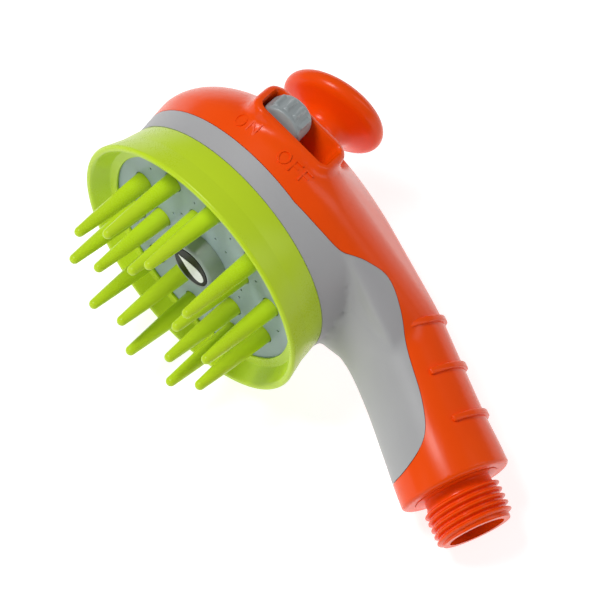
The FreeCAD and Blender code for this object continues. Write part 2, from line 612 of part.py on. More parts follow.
# ---- assembly ----------------------------------------------------------------------
def all_pieces():
    outer = casing_body(0)
    inner = casing_body(WALL)
    inner = inner.cut(cylinder(40, 40, on_handle(-CUFF_WALL), HANDLE_AXIS))
    return {
        "rear_shell": rear_shell(outer, inner),
        "front_shell": front_shell(outer, inner),
        "skirt_ring": skirt_ring(),
        "bristle_comb": bristle_comb(),
        "spray_plate": spray_plate(),
        "centre_boss": centre_boss(),
        "emblem_disc": emblem_disc(),
        "boss_screw": boss_screw(),
        "chamber_bowl": chamber_bowl(),
        "chamber_gasket": chamber_gasket(),
        "valve_body": valve_body(),
        "valve_end_cap": valve_end_cap(),
        "valve_screws": valve_screws(),
        "valve_spool": valve_spool(),
        "spool_o_rings": spool_o_rings(),
        "slider_carriage": slider_carriage(),
        "slider_button": slider_button(),
        "detent_spring": detent_spring(),
        "waterway_tube": waterway_tube(),
        "tube_o_ring": tube_o_ring(),
        "inlet_connector": inlet_connector(),
        "inlet_o_ring": inlet_o_ring(),
        "inlet_strainer": inlet_strainer(),
        "rear_knob": fitted_knob(outer),
        "knob_screw": knob_screw(),
        "shell_screws": shell_screws(),
    }


def lay_down(pieces):
    """Turn the pieces switch side up, spray face towards -Y, and stand them over the origin."""
    up = Vector(TABLE_NORMAL).normalize()
    back = (Z_AXIS - up * Z_AXIS.dot(up)).normalize()
    side = back.cross(up)
    turn = Placement(Matrix(side.x, side.y, side.z, 0,
                            back.x, back.y, back.z, 0,
                            up.x, up.y, up.z, 0,
                            0, 0, 0, 1))
    laid = {}
    for name, shape in pieces.items():
        laid[name] = shape.copy()
        laid[name].Placement = turn.multiply(shape.Placement)
    box = FreeCAD.BoundBox()
    for shape in laid.values():
        box.add(shape.optimalBoundingBox(False, False))
    shift = Placement(Vector(-box.Center.x, -box.Center.y, -box.ZMin), Rotation())
    for shape in laid.values():
        shape.Placement = shift.multiply(shape.Placement)
    return laid, shift.multiply(turn)


def main():
    os.makedirs("parts", exist_ok=True)
    pieces, _ = lay_down(all_pieces())
    for name, shape in pieces.items():
        print(name, len(shape.Solids), shape.isValid(), round(shape.Volume))
        shape.exportStep("parts/" + name + ".step")


main()
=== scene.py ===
import math

import bmesh
import bpy
from mathutils import Matrix, Vector
from mathutils.bvhtree import BVHTree


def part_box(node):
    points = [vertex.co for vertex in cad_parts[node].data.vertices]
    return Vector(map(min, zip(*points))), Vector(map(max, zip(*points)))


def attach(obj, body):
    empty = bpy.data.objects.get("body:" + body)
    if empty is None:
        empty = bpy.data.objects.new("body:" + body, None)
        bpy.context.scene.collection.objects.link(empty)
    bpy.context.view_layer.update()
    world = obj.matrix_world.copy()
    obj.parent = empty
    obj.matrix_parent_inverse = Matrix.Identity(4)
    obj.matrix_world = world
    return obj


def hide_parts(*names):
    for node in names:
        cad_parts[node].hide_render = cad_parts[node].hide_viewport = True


# Looks of a handheld bath sprayer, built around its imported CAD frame.
#
# Pieces are drawn in millimetres in the tool frame: the origin is the centre of the skirt's rim, +Z runs
# along the head's axis away from the spray, +X runs towards the handle, and the switch is on the -Y side.
# laid_down() carries them to where the frame holds the sprayer, on its side on the table.

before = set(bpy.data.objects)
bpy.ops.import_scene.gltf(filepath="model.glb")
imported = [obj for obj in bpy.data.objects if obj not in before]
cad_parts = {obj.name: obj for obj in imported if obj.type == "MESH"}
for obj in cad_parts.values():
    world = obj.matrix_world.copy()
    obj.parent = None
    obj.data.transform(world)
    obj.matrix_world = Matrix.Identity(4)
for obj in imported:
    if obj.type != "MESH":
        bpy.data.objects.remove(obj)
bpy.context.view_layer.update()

MM = 0.001
FULL_TURN = 2 * math.pi

# ---- casing ---------------------------------------------------------------------------
WALL = 2.2
SKIRT_DEPTH = 13.2
RING_BASE_R = 34.8
CROWN_R = 36.7
CROWN_Z = 24.0
CROWN_RISE = 21.5
PARTING_Z = 18.8
PARTING_GAP = 0.16
CUFF_END = Vector((85.6, 0, 15.3))
CUFF_R = 14.7
CUFF_LEAN = 17.6
CUFF_WALL = 3.0
RIB_PLACES = (-40.3, -27.3, -14.0)
RIB_RISE = 0.9
RIB_WIDTH = 1.7
RIB_FOOT = 1.5
RIB_ROOT = 0.7                  # how far a rib is sunk into the handle
CUFF_EDGE = 1.3
SPIGOT_HOLE_R = 11.4            # hole in the cuff's end wall
FRONT_SEAT = (32.8, 1.6, -4.0)  # seat for the skirt: outer radius, top and foot from the skirt's back
CROWN_LOW = 6.0                 # the crown's solid starts this far below the skirt's back
CROWN_RINGS = 28
CROWN_STEPS = 144
HANDLE_STEPS = 96
SKIN_VOXEL = 0.6                # sizes of the small faces that shapes are recast in
CORE_VOXEL = 1.1
FINE_VOXEL = 0.22
BAR_VOXEL = 0.2
SEAM_REACH = 19.0               # how far from the meeting line of head and neck the skin is smoothed
SEAM_ROUNDS = 190
SEAM_STEPS = (1.0, 0.75, 0.5)   # shares of the reach, smoothed one after the other
FILL_ROUNDS = 6
LIP_SEAM_REACH = 1.5
LIP_SEAM_ROUNDS = 3
SHOULDER_START = 5.0            # x where the filled shoulder starts and ends, and its lowest z
SHOULDER_END = 50.0
SHOULDER_LOW = 22.0

# Sections of the neck and handle: centre x, centre z, lean in degrees, half height and half width.
SECTIONS = (
    (-25.0, 26.0, 0.0, 11.0, 15.0),
    (-10.0, 31.2, 0.0, 17.6, 21.0),
    (6.0, 32.6, 0.0, 17.2, 21.6),
    (20.0, 32.4, 4.0, 16.0, 19.6),
    (33.0, 31.0, 9.0, 14.8, 16.0),
    (46.0, 29.4, 15.0, 13.6, 13.9),
    (58.0, 25.6, 17.6, 13.4, 13.6),
    (71.0, 20.6, 17.6, 13.9, 14.0),
    (80.0, 17.3, 17.6, 14.5, 14.5),
    (85.6, 15.3, 17.6, 14.7, 14.7),
    (91.0, 13.6, 17.6, 14.9, 14.9),
)
# The line in x and z where the orange casing meets the grey one.
PARTING_LINE = ((8, 18.8), (17, 20.4), (24, 22.7), (30, 27.4), (36, 30.4), (44, 28.6), (54, 23.6), (64, 18.6),
                (71, 13.2), (74, 6.4), (74.4, 0), (74.4, -20))

# ---- head -----------------------------------------------------------------------------
PLATE_Z = 5.5
PLATE_THICK = 1.8
COMB_Z = PLATE_Z + PLATE_THICK
COMB_THICK = 1.6
COMB_R = 30.6
KEYHOLE_R = 5.0
BRISTLE_RINGS = ((10, 24.4, 9.0), (5, 15.1, 27.0))
BRISTLE_TIP_R = 1.35
BRISTLE_ROOT_R = 2.65
BRISTLE_TIP_Z = -18.0
DROP_HALF_LENGTH = 4.7
DROP_HALF_WIDTH = 3.5
DROP_Z = 0.9                    # inner face of the drop, against the disc
DROP_THICK = 0.12
DROP_STEPS = 48

# ---- inlet ----------------------------------------------------------------------------
THREAD_R = 10.4775
THREAD_PITCH = 1.814
THREAD_DEPTH = 1.162
INLET_END = 12.4
INLET_BORE_R = 7.5
INLET_BORE_END = 3.0
THREAD_START = 3.0
SPIGOT_R = 11.3
FLANGE_R = 12.0
WATER_R = 4.2
STRAINER_R = 6.8
TUBE_R = 5.4
TUBE_END = -15.0

# ---- knob -----------------------------------------------------------------------------
KNOB_FOOT = Vector((-4.6, 0, 44.0))
KNOB_LEAN = -14.0
KNOB_PROFILE = ((7.9, 5.0), (6.9, 6.4), (6.5, 8.0), (6.9, 9.6), (8.3, 11.2), (10.8, 12.5), (13.0, 13.4),
                (14.2, 14.5), (14.6, 15.9), (14.2, 17.3), (13.0, 18.4), (11.0, 19.05), (6.0, 19.6),
                (0.0, 19.8))

# ---- switch ---------------------------------------------------------------------------
SLOT_CENTRE = Vector((-5.7, -33.7, 34.4))
SLOT_LEAN = 62.0
SLOT_SWING = 6.0
SLOT_LENGTH = 22.0
SLOT_WIDTH = 9.6
SLOT_CORNER = 2.2
LIP_WIDTH = 2.3
LIP_RISE = 0.2
LIP_DEPTH = 9.0
LIP_ROUND = 0.9
SLOT_FLARE = 0.45
SLOT_FLARE_DEPTH = 0.8
PAD_MARGIN = (9, 6)             # the pad round the slot is this much longer and wider than it
PAD_DEPTH = 7.2
BUTTON_LENGTH = 12.0
BUTTON_WIDTH = 8.4
BUTTON_RISE = 2.6
BUTTON_AT = -4.1
BUTTON_GAP = 0.3
BUTTON_CORNER = 1.9
DRUM_R = 6.6                    # round of the button's top, along the slot
BAR_R = 0.8
BAR_AT_R = DRUM_R - 0.05
BAR_INSET = 1.5
BAR_TURNS = (-40, -14, 12, 38)  # places of the raised bars, in degrees along the round top
POST_R = 1.2
POST_SIDES = (-3.5, 3.5)
CARRIAGE_THICK = 1.5
LETTER_HEIGHT = 3.5
LETTER_STROKE = 0.42
LETTER_PROUD = 0.22
LETTER_LIFT = 0.004             # between the strokes of one letter, so that no two faces fall together
LETTER_LEVEL = Vector((1, 0, 0.07))
# Each letter's x and z on the casing, in the tool frame.
LETTER_PLACES = (("O", -16.6, 23.9), ("N", -12.9, 24.3),
                 ("O", -2.1, 24.2), ("F", 1.6, 24.4), ("F", 5.0, 24.7))

TABLE_NORMAL = Vector((-0.266, -0.963, -0.048))


# ---- directions -----------------------------------------------------------------------
def turned_about(axis, degrees, vector):
    return Matrix.Rotation(math.radians(degrees), 3, axis) @ Vector(vector)


HANDLE_AXIS = turned_about("Y", CUFF_LEAN, (1, 0, 0))
HANDLE_BACK = turned_about("Y", CUFF_LEAN, (0, 0, 1))
SLOT_OUT = turned_about("X", SLOT_LEAN, (0, 0, 1))
SLOT_ALONG = Matrix.Rotation(math.radians(SLOT_SWING), 3, SLOT_OUT) @ Vector((1, 0, 0))
SLOT_ACROSS = SLOT_OUT.cross(SLOT_ALONG)


def placed(origin, x_axis, y_axis, z_axis):
    return Matrix.Translation(origin) @ Matrix((x_axis, y_axis, z_axis)).transposed().to_4x4()


AT_SLOT = placed(SLOT_CENTRE, SLOT_ALONG, SLOT_ACROSS, SLOT_OUT)
AT_CUFF = placed(CUFF_END, HANDLE_AXIS.cross(Vector((0, 1, 0))), Vector((0, -1, 0)), HANDLE_AXIS)
AT_KNOB = Matrix.Translation(KNOB_FOOT) @ Matrix.Rotation(math.radians(KNOB_LEAN), 4, "Y")


def laid_down():
    """Placement of the tool frame in the row frame, millimetres to metres."""
    up = TABLE_NORMAL.normalized()
    back = (Vector((0, 0, 1)) - up * up.z).normalized()
    turn = Matrix((back.cross(up), back, up))
    low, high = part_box("spray_plate")
    plate_middle = turn @ Vector((0, 0, PLATE_Z + PLATE_THICK / 2)) * MM
    return Matrix.Translation((low + high) / 2 - plate_middle) @ turn.to_4x4() @ Matrix.Scale(MM, 4)


TOOL = laid_down()


# ---- shaping helpers ------------------------------------------------------------------
def flowing(points, share):
    """Points of a smooth line through the given ones, share of them to each span."""
    line = []
    last = len(points) - 1
    for i in range(last):
        before, start, end, after = (Vector(points[max(0, min(last, i + k))]) for k in (-1, 0, 1, 2))
        for step in range(share):
            t = step / share
            line.append(0.5 * (2 * start + (end - before) * t
                               + (2 * before - 5 * start + 4 * end - after) * t ** 2
                               + (3 * start - before - 3 * end + after) * t ** 3))
    return line + [Vector(points[-1])]


def tidied(form):
    bmesh.ops.remove_doubles(form, verts=form.verts, dist=1e-4)
    bmesh.ops.dissolve_degenerate(form, edges=form.edges, dist=1e-5)
    bmesh.ops.recalc_face_normals(form, faces=form.faces)
    return form


def turned(profile, steps=96, rounding=None, closed=False):
    """Solid turned about z from an outline of (radius, height) points; rounding eases its corners."""
    form = bmesh.new()
    points = [form.verts.new((radius, 0, height)) for radius, height in profile]
    pairs = list(zip(points, points[1:])) + ([(points[-1], points[0])] if closed else [])
    for pair in pairs:
        form.edges.new(pair)
    if rounding:
        corners = [v for v in points if len(v.link_edges) == 2]
        bmesh.ops.bevel(form, geom=corners, offset=rounding, offset_type="OFFSET", segments=3, profile=0.5,
                        affect="VERTICES", clamp_overlap=True, material=-1)
    bmesh.ops.spin(form, geom=form.verts[:] + form.edges[:], cent=(0, 0, 0), axis=(0, 0, 1), angle=FULL_TURN,
                   steps=steps, use_merge=True)
    return tidied(form)


def rounded_block(length, width, low, high, corner, centre=0.0, segments=6):
    """Upright block, long along X, with rounded upright edges."""
    form = bmesh.new()
    bmesh.ops.create_cube(form, size=1)
    bmesh.ops.scale(form, vec=(length, width, high - low), verts=form.verts)
    bmesh.ops.translate(form, vec=(centre, 0, (low + high) / 2), verts=form.verts)
    upright = [e for e in form.edges if abs(e.verts[0].co.z - e.verts[1].co.z) > 1e-3]
    bmesh.ops.bevel(form, geom=upright, offset=corner, segments=segments, profile=0.5, affect="EDGES",
                    clamp_overlap=True, material=-1)
    return form


def rod(radius, start, end, segments=32):
    """Round bar between two points."""
    form = bmesh.new()
    reach = Vector(end) - Vector(start)
    bmesh.ops.create_cone(form, cap_ends=True, segments=segments, radius1=radius, radius2=radius,
                          depth=reach.length)
    turn = reach.to_track_quat("Z", "Y").to_matrix().to_4x4()
    form.transform(Matrix.Translation((Vector(start) + Vector(end)) / 2) @ turn)
    return form


def moved(form, placement):
    form.transform(placement)
    return form


def extruded(form, corners, reach):
    """Closes the corners with a face and draws it out by reach."""
    made = bmesh.ops.extrude_face_region(form, geom=[form.faces.new(corners)])
    bmesh.ops.translate(form, vec=reach, verts=[g for g in made["geom"] if isinstance(g, bmesh.types.BMVert)])
    bmesh.ops.recalc_face_normals(form, faces=form.faces)


def gathered(*forms):
    """The forms together in one bmesh."""
    whole = bmesh.new()
    for form in forms:
        part = bpy.data.meshes.new("part")
        form.to_mesh(part)
        whole.from_mesh(part)
        bpy.data.meshes.remove(part)
    return whole


def as_object(form, name="work"):
    mesh = bpy.data.meshes.new(name)
    form.to_mesh(mesh)
    made = bpy.data.objects.new(name, mesh)
    bpy.context.scene.collection.objects.link(made)
    return made


def worked(form, kind, tool=None, **settings):
    """The form after one modifier."""
    made = as_object(form)
    change = made.modifiers.new(kind, kind)
    for name, value in settings.items():
        setattr(change, name, value)
    helper = as_object(tool) if tool is not None else None
    if helper is not None:
        change.object = helper
    bpy.context.view_layer.update()
    result = bpy.data.meshes.new_from_object(made.evaluated_get(bpy.context.evaluated_depsgraph_get()))
    after = bmesh.new()
    after.from_mesh(result)
    bpy.data.meshes.remove(result)
    for spent in filter(None, (made, helper)):
        mesh = spent.data
        bpy.data.objects.remove(spent)
        bpy.data.meshes.remove(mesh)
    return after


def cut(form, tool):
    return worked(form, "BOOLEAN", tool, operation="DIFFERENCE", solver="MANIFOLD")


def joined(form, tool):
    return worked(form, "BOOLEAN", tool, operation="UNION", solver="MANIFOLD")


def common(form, tool):
    return worked(form, "BOOLEAN", tool, operation="INTERSECT", solver="MANIFOLD")


def recast(form, voxel):
    """The form's outer skin as an even grid of small faces."""
    return worked(form, "REMESH", mode="VOXEL", voxel_size=voxel, use_smooth_shade=True)


def eased(form, rounds, chosen=None):
    """Smooths the chosen points of the form."""
    points = form.verts[:] if chosen is None else chosen
    for _ in range(rounds):
        bmesh.ops.smooth_vert(form, verts=points, factor=0.5, use_axis_x=True, use_axis_y=True,
                              use_axis_z=True)
    return form


def eased_seam(form, first, second, reach, rounds, fill_only=False):
    """Smooths the form where it lies near both of two surfaces, most at their meeting line.

    With fill_only the hollow of the meeting line is filled, and what stands proud keeps its place."""
    trees = [BVHTree.FromBMesh(surface) for surface in (first, second)]
    distance = {}
    for vert in form.verts:
        distance[vert] = max(tree.find_nearest(vert.co, reach + 1)[3] or reach + 1 for tree in trees)
    form.normal_update()
    rest = {vert: (vert.co.copy(), vert.normal.copy()) for vert, far in distance.items() if far < reach}
    for share in SEAM_STEPS:
        near = [vert for vert, far in distance.items() if far < reach * share]
        eased(form, rounds, near)
    if fill_only:
        for vert, (place, normal) in rest.items():
            vert.co = place + normal * max(0.0, (vert.co - place).dot(normal))
        eased(form, FILL_ROUNDS, list(rest))
    return form


def finished(name, form, finish, body="sprayer", stands_for=(), crease=32.0):
    """Makes the form a finished piece at its place in the row frame."""
    form.transform(TOOL)
    form.normal_update()
    for face in form.faces:
        face.smooth = True
    for edge in form.edges:
        if len(edge.link_faces) == 2:
            edge.smooth = edge.calc_face_angle(0.0) < math.radians(crease)
    piece = as_object(form, name)
    form.free()
    piece.data.materials.append(finish)
    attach(piece, body)
    if stands_for:
        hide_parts(*stands_for)


# ---- finishes -------------------------------------------------------------------------
class Signal:
    """An output socket of a finish; arithmetic on it adds Math nodes."""

    def __init__(self, finish, socket):
        self.finish = finish
        self.socket = socket

    def math(self, operation, first, second):
        return self.finish.node("ShaderNodeMath", {"operation": operation}, {0: first, 1: second})

    def __add__(self, other):
        return self.math("ADD", self, other)

    def __mul__(self, other):
        return self.math("MULTIPLY", self, other)


class Finish:
    """A material while its nodes are laid out."""

    def __init__(self, name, **constants):
        self.material = bpy.data.materials.new(name)
        self.material.use_nodes = True
        self.tree = self.material.node_tree
        self.shader = self.tree.nodes["Principled BSDF"]
        for socket, value in constants.items():
            self.shader.inputs[socket.replace("_", " ")].default_value = value
        self.place = self.node("ShaderNodeTexCoord", {}, {}, "Object")

    def node(self, kind, settings, sockets, output=0):
        made = self.tree.nodes.new(kind)
        for name, value in settings.items():
            setattr(made, name, value)
        for name, value in sockets.items():
            if isinstance(value, Signal):
                self.tree.links.new(value.socket, made.inputs[name])
            else:
                made.inputs[name].default_value = value
        return Signal(self, made.outputs[output])

    def grain(self, scale, detail=2.0, roughness=0.5):
        """Noise of that many spots to the metre."""
        return self.node("ShaderNodeTexNoise", {}, {"Vector": self.place, "Scale": scale, "Detail": detail,
                                                    "Roughness": roughness}, "Fac")

    def blend(self, share, first, second):
        return self.node("ShaderNodeMix", {"data_type": "RGBA"}, {0: share, 6: first, 7: second}, 2)

    def feed(self, socket, value):
        self.tree.links.new(value.socket, self.shader.inputs[socket])

    def relief(self, height, depth):
        self.feed("Normal", self.node("ShaderNodeBump", {}, {"Height": height, "Distance": depth,
                                                             "Strength": 1.0}))


def paint(red, green, blue):
    """Linear colour of an sRGB one given in 0 to 255."""
    linear = [((c / 255 + 0.055) / 1.055) ** 2.4 if c > 10 else c / 255 / 12.92 for c in (red, green, blue)]
    return (*linear, 1.0)


def moulded(name, colour, deeper, rough, rough_spread, grain_depth, swirl_depth, **constants):
    """Moulded plastic: a little cloudiness in its colour, a fine skin grain and broad, faint waves."""
    finish = Finish(name, **constants)
    cloud = finish.grain(55.0, 3.0)
    skin = finish.grain(2600.0, 2.0)
    wave = finish.grain(150.0, 1.0)
    finish.feed("Base Color", finish.blend(cloud, paint(*deeper), paint(*colour)))
    middle = rough - rough_spread * 0.75
    finish.feed("Roughness", cloud * rough_spread + skin * (rough_spread * 0.5) + middle)
    finish.relief(skin * grain_depth + wave * swirl_depth, 1.0)
    return finish.material


ORANGE = moulded("orange_gloss_plastic", (250, 84, 4), (242, 72, 2), 0.24, 0.06, 1.2e-6, 2.2e-5,
                 Specular_IOR_Level=0.22)
# Darker, redder copy of the orange for the slider carriage down in the slot: painted shade.
ORANGE_PAINTED_SHADE = moulded("orange_painted_shade_plastic", (228, 40, 2), (214, 32, 1), 0.34, 0.06, 1.5e-6, 2.0e-5,
                      Specular_IOR_Level=0.4)
GREY = moulded("grey_satin_plastic", (176, 176, 178), (168, 168, 170), 0.40, 0.06, 4.0e-6, 1.2e-5,
               Specular_IOR_Level=0.22)
LIME = moulded("lime_soft_silicone", (196, 224, 44), (186, 216, 34), 0.28, 0.06, 2.0e-6, 1.5e-5,
               Specular_IOR_Level=0.22)
PLATE = moulded("blue_grey_plastic", (158, 176, 180), (148, 167, 172), 0.36, 0.06, 3.0e-6, 1.0e-5,
                Specular_IOR_Level=0.22)
BUTTON = moulded("slider_grey_plastic", (158, 165, 166), (146, 154, 156), 0.34, 0.06, 2.5e-6, 1.0e-5,
                 Specular_IOR_Level=0.5)
BOSS = moulded("boss_grey_plastic", (140, 152, 148), (128, 141, 138), 0.34, 0.06, 2.5e-6, 1.0e-5,
               Specular_IOR_Level=0.5)
BLACK = moulded("black_gloss_print", (12, 12, 13), (8, 8, 9), 0.34, 0.05, 1.0e-6, 4.0e-6,
                Specular_IOR_Level=0.12)
WHITE = moulded("white_gloss_print", (240, 242, 240), (232, 234, 232), 0.26, 0.05, 1.0e-6, 4.0e-6)
NATURAL = moulded("natural_acetal", (226, 226, 218), (214, 214, 206), 0.4, 0.08, 2.0e-6, 1.0e-5)
RUBBER = moulded("black_seal_rubber", (26, 26, 27), (19, 19, 20), 0.6, 0.1, 4.0e-6, 8.0e-6)
DARK = moulded("dark_screen_plastic", (44, 44, 46), (34, 34, 36), 0.5, 0.08, 2.0e-6, 8.0e-6)


def brushed_steel():
    finish = Finish("zinc_steel", Metallic=1.0)
    lines = finish.grain(900.0, 3.0)
    finish.feed("Base Color", finish.blend(lines, paint(158, 160, 164), paint(196, 198, 202)))
    finish.feed("Roughness", lines * 0.18 + 0.24)
    finish.relief(lines * 3.0e-6, 1.0)
    return finish.material


STEEL = brushed_steel()


# ---- casing ---------------------------------------------------------------------------
def crown_form(inset):
    """Head of the casing: ring below, elliptic dome above, closed below the skirt's back."""
    low = SKIRT_DEPTH - CROWN_LOW
    profile = [(0, low), (RING_BASE_R - inset, low), (RING_BASE_R - inset, SKIRT_DEPTH)]
    for i in range(CROWN_RINGS + 1):
        turn = math.pi / 2 * i / CROWN_RINGS
        profile.append(((CROWN_R - inset) * math.cos(turn), CROWN_Z + (CROWN_RISE - inset) * math.sin(turn)))
    return turned(profile, steps=CROWN_STEPS)


def handle_form(inset, share=8):
    """Neck and handle lofted through the sections."""
    form = bmesh.new()
    loops = []
    for x, z, lean, high, wide in flowing(SECTIONS, share):
        made = bmesh.ops.create_circle(form, segments=HANDLE_STEPS, radius=1.0)
        turn = Matrix.Rotation(math.radians(lean), 4, "Y") @ Matrix.Rotation(math.pi / 2, 4, "Y")
        size = Matrix.Diagonal((high - inset, wide - inset, 1.0, 1.0))
        bmesh.ops.transform(form, matrix=Matrix.Translation((x, 0, z)) @ turn @ size, verts=made["verts"])
        loops.append(list({e for v in made["verts"] for e in v.link_edges}))
    for loop, following in zip(loops, loops[1:]):
        bmesh.ops.bridge_loops(form, edges=loop + following)
    bmesh.ops.holes_fill(form, edges=loops[0] + loops[-1], sides=0)
    return tidied(form)


def handle_rib(place):
    """Low band over the back of the handle."""
    slab = rounded_block(RIB_WIDTH, 60, RIB_FOOT, 30, 0.1)
    slab = moved(slab, placed(CUFF_END + HANDLE_AXIS * place, HANDLE_AXIS, Vector((0, 1, 0)), HANDLE_BACK))
    band = cut(common(handle_form(-RIB_RISE), slab), handle_form(RIB_ROOT))
    return eased(recast(band, FINE_VOXEL), 5)


def parting_block(shift):
    """Everything on the orange side of the line where the two casings meet.

    The line is moved by shift: along x on its upright end past the grip panel, and along z before that."""
    upright_from, top = 73, 90
    line = [(-80, PARTING_Z)] + flowing(PARTING_LINE, 10) + [(140, -20), (140, top), (-80, top)]
    form = bmesh.new()
    corners = []
    for x, z in line:
        if x > upright_from:
            corners.append(form.verts.new((x + shift, -60, z)))
        else:
            corners.append(form.verts.new((x, -60, z + (shift if z < top else 0))))
    extruded(form, corners, (0, 120, 0))
    return form


def lip_block():
    return rounded_block(SLOT_LENGTH + 2 * LIP_WIDTH, SLOT_WIDTH + 2 * LIP_WIDTH, -LIP_DEPTH, LIP_RISE,
                         SLOT_CORNER + LIP_WIDTH, segments=8)


def slot_lip():
    """Thick wall that stands round the switch's slot, with a rounded outer rim."""
    lip = lip_block()
    rim = [e for e in lip.edges if all(abs(v.co.z - LIP_RISE) < 1e-4 for v in e.verts)]
    bmesh.ops.bevel(lip, geom=rim, offset=LIP_ROUND, segments=4, profile=0.5, affect="EDGES", material=-1)
    return moved(lip, AT_SLOT)


def slot_hole():
    """Cutter for the slot, flared a little at its mouth."""
    hole = rounded_block(SLOT_LENGTH, SLOT_WIDTH, -LIP_DEPTH - 4, 8.0, SLOT_CORNER, segments=8)
    for height in (LIP_RISE - SLOT_FLARE_DEPTH, LIP_RISE):
        bmesh.ops.bisect_plane(hole, geom=hole.verts[:] + hole.edges[:] + hole.faces[:],
                               plane_co=(0, 0, height), plane_no=(0, 0, 1))
    for vert in hole.verts:
        if vert.co.z > LIP_RISE - 0.1:
            vert.co.x += math.copysign(SLOT_FLARE, vert.co.x)
            vert.co.y += math.copysign(SLOT_FLARE, vert.co.y)
    return moved(hole, AT_SLOT)


def shoulder(crown, handle):
    """Fills the hollow between the crown's flank and the neck, above the parting line."""
    form = bmesh.new()
    for vert in crown.verts:
        if vert.co.x > SHOULDER_START and vert.co.z > SHOULDER_LOW:
            form.verts.new(vert.co)
    for vert in handle.verts:
        if vert.co.x < SHOULDER_END and vert.co.z > SHOULDER_LOW:
            form.verts.new(vert.co)
    made = bmesh.ops.convex_hull(form, input=form.verts[:])
    spare = {g for g in made["geom_interior"] + made["geom_unused"] if isinstance(g, bmesh.types.BMVert)}
    bmesh.ops.delete(form, geom=list(spare), context="VERTS")
    return form


def casing_skin():
    """Outer skin of both casings in one, with the head flowing into the neck."""
    crown = crown_form(0)
    handle = handle_form(0, share=20)
    lip = slot_lip()
    skin = recast(gathered(crown, handle, shoulder(crown, handle), lip), SKIN_VOXEL)
    skin = eased_seam(skin, crown, handle, SEAM_REACH, SEAM_ROUNDS, fill_only=True)
    skin = eased_seam(skin, gathered(crown, handle), lip, LIP_SEAM_REACH, LIP_SEAM_ROUNDS)
    return eased(skin, 1)


def casing_core():
    """The hollow inside both casings."""
    core = recast(gathered(crown_form(WALL), handle_form(WALL)), CORE_VOXEL)
    pad = rounded_block(SLOT_LENGTH + PAD_MARGIN[0], SLOT_WIDTH + PAD_MARGIN[1], -PAD_DEPTH, 20, 5)
    core = cut(cut(core, moved(pad, AT_SLOT)), moved(lip_block(), AT_SLOT))
    past_wall = moved(turned([(0, -CUFF_WALL), (40, -CUFF_WALL), (40, 40), (0, 40)]), AT_CUFF)
    return cut(core, past_wall)


def cuff_trim():
    """Solid that the casing is kept within at the cuff: flat end with an eased corner."""
    middle = CUFF_R + 0.05 - CUFF_EDGE
    corner = []
    for i in range(6):
        turn = i * math.pi / 12
        corner.append((middle + CUFF_EDGE * math.sin(turn), -CUFF_EDGE + CUFF_EDGE * math.cos(turn)))
    return moved(turned([(0, 0)] + corner + [(70, -12), (70, -170), (0, -170)], steps=128), AT_CUFF)


def build_casings():
    skin = casing_skin()
    skin = cut(common(skin, cuff_trim()), below_head())
    outside = skin.copy()
    shell = cut(skin, casing_core())
    shell = cut(shell, moved(turned([(0, -9), (SPIGOT_HOLE_R, -9), (SPIGOT_HOLE_R, 9), (0, 9)]), AT_CUFF))
    rear = cut(common(shell, parting_block(PARTING_GAP)), slot_hole())
    for place in RIB_PLACES:
        rear = joined(rear, handle_rib(place))
    front = cut(shell, parting_block(0.0))
    inner = COMB_R + 1.2
    outer, top, foot = FRONT_SEAT[0], SKIRT_DEPTH + FRONT_SEAT[1], SKIRT_DEPTH + FRONT_SEAT[2]
    front = joined(front, turned([(inner, top), (inner, foot), (outer, foot), (outer, top)], closed=True))
    finished("rear_casing", rear, ORANGE, stands_for=["rear_shell"], crease=38)
    finished("front_casing", front, GREY, stands_for=["front_shell"], crease=38)
    return outside


def below_head():
    """Block over the head's open front, clear of the handle."""
    block = bmesh.new()
    bmesh.ops.create_cube(block, size=1)
    bmesh.ops.scale(block, vec=(130, 160, 60), verts=block.verts)
    bmesh.ops.translate(block, vec=(-25, 0, SKIRT_DEPTH - 30), verts=block.verts)
    return block


def build_knob(outside):
    profile = [(0.0, 0.0), (8.6, 0.0)] + flowing(KNOB_PROFILE, 5)
    knob = moved(turned(profile, steps=128), AT_KNOB)
    finished("grip_knob", cut(knob, outside), ORANGE, stands_for=["rear_knob"], crease=50)


# ---- head -----------------------------------------------------------------------------
def build_skirt():
    profile = [(36.3, 0.0), (37.4, 0.0), (37.8, 0.7), (36.0, 6.5), (34.8, SKIRT_DEPTH - 0.02),
               (32.85, SKIRT_DEPTH - 0.02), (32.85, 8.9), (31.7, 8.9), (31.7, PLATE_Z), (31.2, PLATE_Z),
               (31.2, PLATE_Z - 0.8), (33.6, PLATE_Z - 0.8), (35.8, 0.6)]
    finished("lime_skirt", turned(profile, steps=160, rounding=0.28, closed=True), LIME,
             stands_for=["skirt_ring"])


def bristle():
    """One tapered bristle with a rounded tip."""
    tip_centre = BRISTLE_TIP_Z + BRISTLE_TIP_R
    profile = [(0.0, COMB_Z + 0.8), (BRISTLE_ROOT_R, COMB_Z + 0.8), (BRISTLE_ROOT_R, PLATE_Z)]
    for share in (0.25, 0.5, 0.75):
        swell = 0.12 * math.sin(math.pi * share)
        profile.append((BRISTLE_ROOT_R + (BRISTLE_TIP_R - BRISTLE_ROOT_R) * share + swell,
                        PLATE_Z + (tip_centre - PLATE_Z) * share))
    for i in range(7):
        turn = math.pi / 2 * i / 6
        profile.append((BRISTLE_TIP_R * math.cos(turn), tip_centre - BRISTLE_TIP_R * math.sin(turn)))
    return turned(profile, steps=32)


